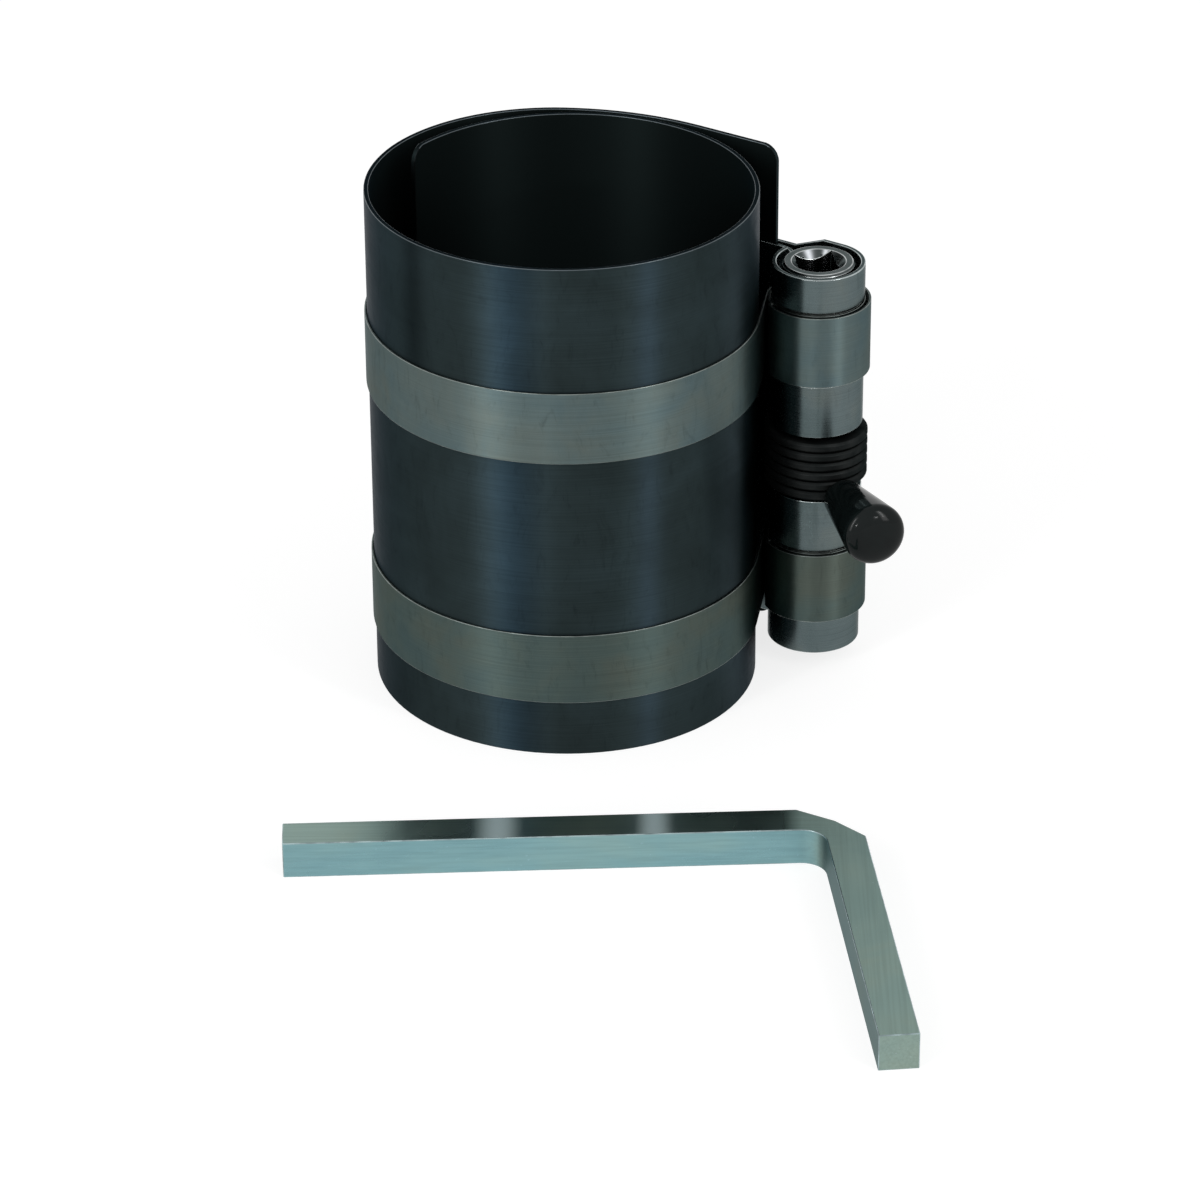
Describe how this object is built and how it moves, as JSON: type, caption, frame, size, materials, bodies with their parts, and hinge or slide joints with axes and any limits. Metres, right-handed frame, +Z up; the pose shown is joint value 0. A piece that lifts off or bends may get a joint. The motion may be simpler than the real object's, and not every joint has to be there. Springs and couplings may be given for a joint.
{
  "type": "piston ring compressor",
  "caption": "Rolled spring-steel ring compressor sleeve closed by steel bands wound on a side spindle with a wrap-spring clutch and release lever, with a loose square L-shaped key.",
  "frame": {"origin": "on the axis of the round part of the sleeve, at its bottom edge", "axes": "+Z up along the sleeve, +X towards the spindle, -Y towards the loose key and the viewer"},
  "size_m": [0.1017, 0.1595, 0.0889],
  "materials": {
    "sleeve_steel": "blued, glossy",
    "band_steel": "satin grey",
    "housing_steel": "satin grey",
    "spindle_steel": "turned, satin",
    "spring_steel": "black oxide",
    "grip_plastic": "black, semi-gloss",
    "key_zinc": "bright zinc plate"
  },
  "bodies": {
    "tool": {"sleeve": "sleeve_steel", "upper_band": "band_steel", "lower_band": "band_steel", "spindle_housing": "housing_steel", "clutch_spring": "spring_steel"},
    "winder": {"spindle": "spindle_steel", "upper_band_roll": "band_steel", "lower_band_roll": "band_steel"},
    "lever": {"release_lever": "spring_steel", "lever_grip": "grip_plastic"},
    "key": {"drive_key": "key_zinc"}
  },
  "joints": [
    {"name": "spindle_turn", "type": "hinge", "parent": "tool", "child": "winder", "pos_m": [0.0412, 0.00404, 0.03], "axis": [0, 0, 1], "range_deg": [-216, 1440]},
    {"name": "lever_release", "type": "hinge", "parent": "tool", "child": "lever", "pos_m": [0.0412, 0.00404, 0.034], "axis": [0, 0, 1], "range_deg": [-12, 0], "stiffness_Nm_per_rad": 0.5},
    {"name": "key_lift", "type": "slide", "parent": "tool", "child": "key", "axis": [0, 0, 1], "range_m": [0, 0.1]}
  ]
}
